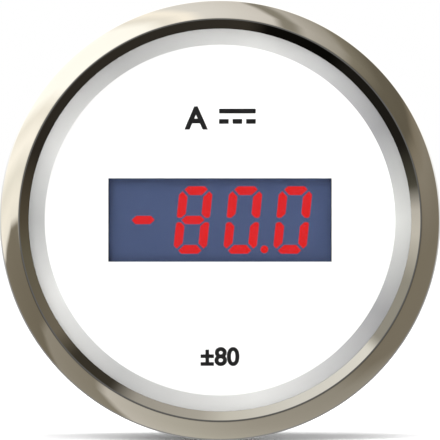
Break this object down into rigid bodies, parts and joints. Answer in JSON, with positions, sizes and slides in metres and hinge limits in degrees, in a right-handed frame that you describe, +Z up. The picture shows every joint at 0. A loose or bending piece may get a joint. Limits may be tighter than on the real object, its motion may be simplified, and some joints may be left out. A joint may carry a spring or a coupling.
{
  "type": "panel ammeter gauge",
  "caption": "Round panel-mount digital ammeter: polished bezel, white dial, numeric display, plug headers at the rear and a U-shaped clamp drawn up on studs by knurled nuts.",
  "frame": {"origin": "centre of the gasket's rear face, which seats on the panel's front face", "axes": "+Y points behind the panel along the barrel and the dial faces -Y; +Z is up and +X is to the right as a reader sees the dial"},
  "size_m": [0.06, 0.0668, 0.06],
  "materials": {
    "polished_stainless": "mirror polished",
    "black_rubber": "moulded",
    "gasket_rubber": "moulded, fine grain",
    "clear_glass": "polished",
    "satin_silver": "spun satin",
    "white_dial": "screen printed white",
    "slate_acrylic": "tinted, satin front",
    "clear_acrylic": "clear",
    "white_plastic": "moulded",
    "grey_epoxy": "printed grey face",
    "red_segment": "lit",
    "dark_segment": "unlit",
    "tinned_metal": "tinned copper alloy",
    "green_laminate": "solder mask",
    "led_plastic": "moulded",
    "black_epoxy": "moulded",
    "resistor_ceramic": "glazed",
    "zinc_steel": "zinc plated",
    "plated_brass": "nickel flashed",
    "gold_plate": "gold flashed",
    "black_plastic": "moulded",
    "bright_can": "drawn can",
    "capacitor_can": "drawn can",
    "ferrite": "pressed ferrite",
    "black_nylon": "moulded",
    "natural_nylon": "moulded",
    "seal_silicone": "moulded",
    "case_plastic": "fine spark texture",
    "clamp_steel": "zinc plated strip",
    "stud_steel": "zinc plated",
    "nut_brass": "plain, knurled"
  },
  "bodies": {
    "gauge": {"bezel": "polished_stainless", "bezel_seal": "black_rubber", "lens": "clear_glass", "lens_gasket": "black_rubber", "trim_ring": "satin_silver", "dial": "white_dial", "display_window": "slate_acrylic", "light_guide": "clear_acrylic", "light_box": "white_plastic", "display_body": "grey_epoxy", "lit_segments": "red_segment", "unlit_segments": "dark_segment", "display_pins": "tinned_metal", "front_board": "green_laminate", "backlight_leds": "led_plastic", "display_driver": "black_epoxy", "segment_resistors": "resistor_ceramic", "board_screws": "zinc_steel", "standoffs": "plated_brass", "link_pins": "gold_plate", "link_insulators": "black_plastic", "rear_board": "green_laminate", "microcontroller": "black_epoxy", "crystal": "bright_can", "sense_amplifier": "black_epoxy", "voltage_regulator": "black_epoxy", "electrolytic_capacitors": "capacitor_can", "power_inductor": "ferrite", "surge_suppressor": "black_epoxy", "rear_passives": "resistor_ceramic", "power_header": "black_nylon", "power_contacts": "tinned_metal", "power_header_seal": "seal_silicone", "sensor_header": "natural_nylon", "sensor_contacts": "tinned_metal", "sensor_header_seal": "seal_silicone", "front_frame": "case_plastic", "case": "case_plastic", "panel_gasket": "gasket_rubber", "left_stud": "stud_steel", "right_stud": "stud_steel"},
    "clamp": {"clamp_bracket": "clamp_steel", "left_flat_washer": "zinc_steel", "right_flat_washer": "zinc_steel", "left_spring_washer": "zinc_steel", "right_spring_washer": "zinc_steel"},
    "left_nut": {"left_thumb_nut": "nut_brass"},
    "right_nut": {"right_thumb_nut": "nut_brass"}
  },
  "joints": [
    {"name": "clamp_slide", "type": "slide", "parent": "gauge", "child": "clamp", "axis": [0, 1, 0], "range_m": [-0.002, 0.007]},
    {"name": "left_nut_turn", "type": "hinge", "parent": "clamp", "child": "left_nut", "pos_m": [-0.0155, 0.048, 0], "axis": [0, 1, 0], "range_deg": [-1029, 3601]},
    {"name": "right_nut_turn", "type": "hinge", "parent": "clamp", "child": "right_nut", "pos_m": [0.0155, 0.048, 0], "axis": [0, 1, 0], "range_deg": [-1029, 3601]}
  ],
  "couplings": [
    {"joint": "left_nut_turn", "follows": "clamp_slide", "rad_per_m": 8976},
    {"joint": "right_nut_turn", "follows": "clamp_slide", "rad_per_m": 8976}
  ]
}
